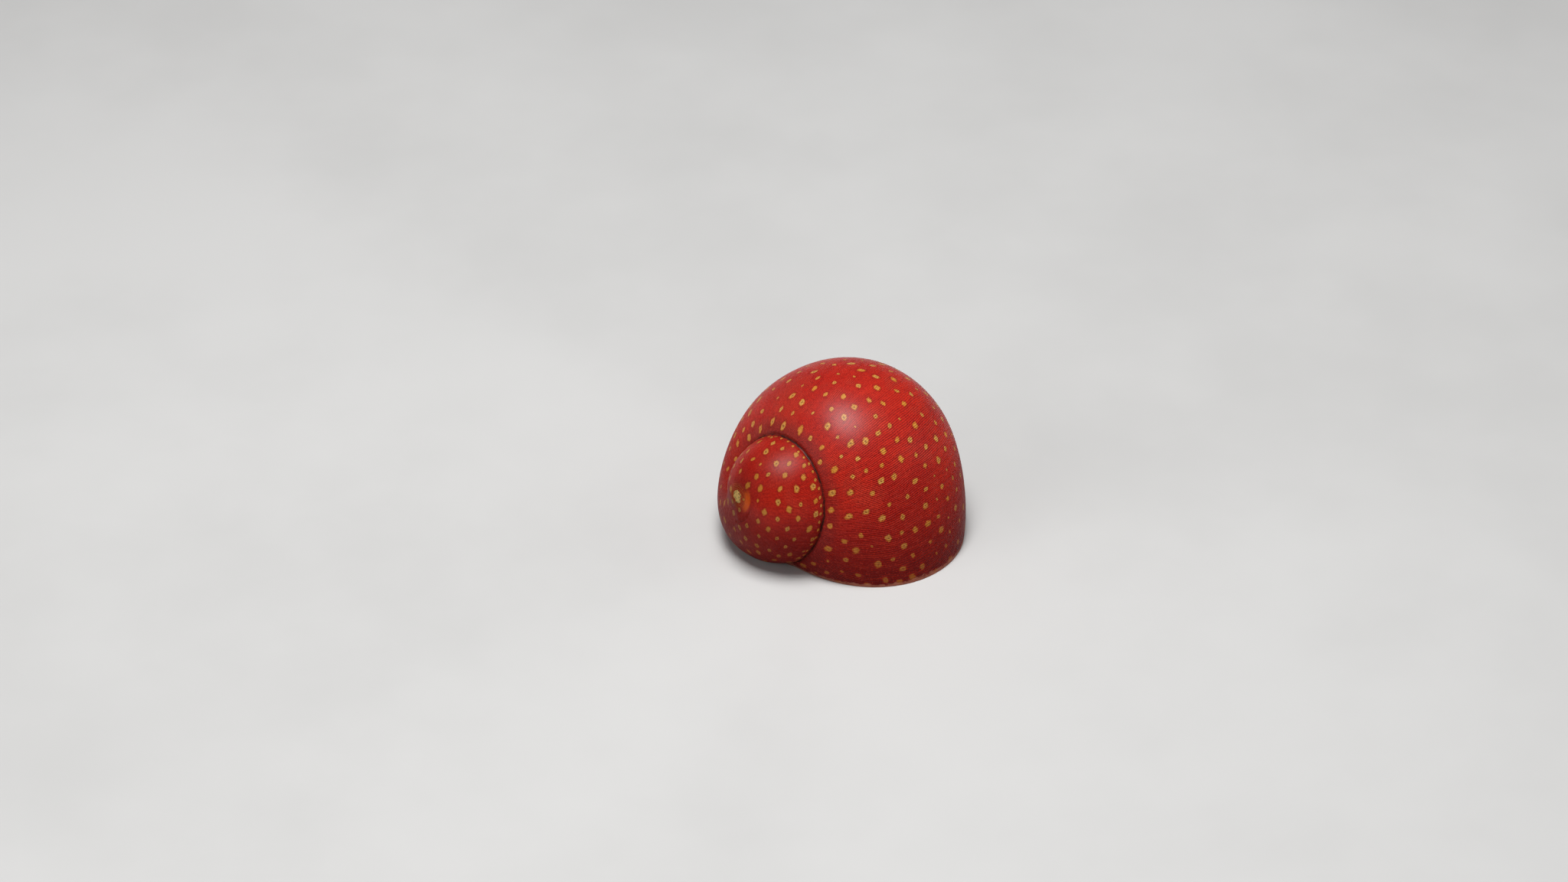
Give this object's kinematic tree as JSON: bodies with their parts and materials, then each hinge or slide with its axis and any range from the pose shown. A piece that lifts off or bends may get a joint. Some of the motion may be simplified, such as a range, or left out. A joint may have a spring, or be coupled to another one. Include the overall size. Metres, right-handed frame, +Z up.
{
  "type": "nerite snail",
  "caption": "Life-size nerite snail at rest: a rounded red shell with yellow-orange spots and a low spire, drawn down over the foot, with the head peeping out behind.",
  "frame": {"origin": "on the floor, below the middle of the whole snail", "axes": "+Z up from the sole; +X and +Y level. Seen along +Y the spire is to the left and towards the viewer, and the head points along +X and +Y, away from the viewer"},
  "size_m": [0.0202, 0.0191, 0.0137],
  "materials": {
    "shell_red": "satin",
    "spire_red": "satin",
    "shelf_cream": "gloss",
    "lid_grey": "satin",
    "sole_flesh": "satin",
    "head_flesh": "satin",
    "eye_black": "gloss"
  },
  "bodies": {
    "root": {"shell_spire": "spire_red", "shell_body_whorl": "shell_red", "columellar_shelf": "shelf_cream", "operculum": "lid_grey", "foot": "sole_flesh", "head": "head_flesh", "snout": "head_flesh", "tentacle_left": "head_flesh", "tentacle_right": "head_flesh", "eye_left": "eye_black", "eye_right": "eye_black"}
  },
  "joints": []
}
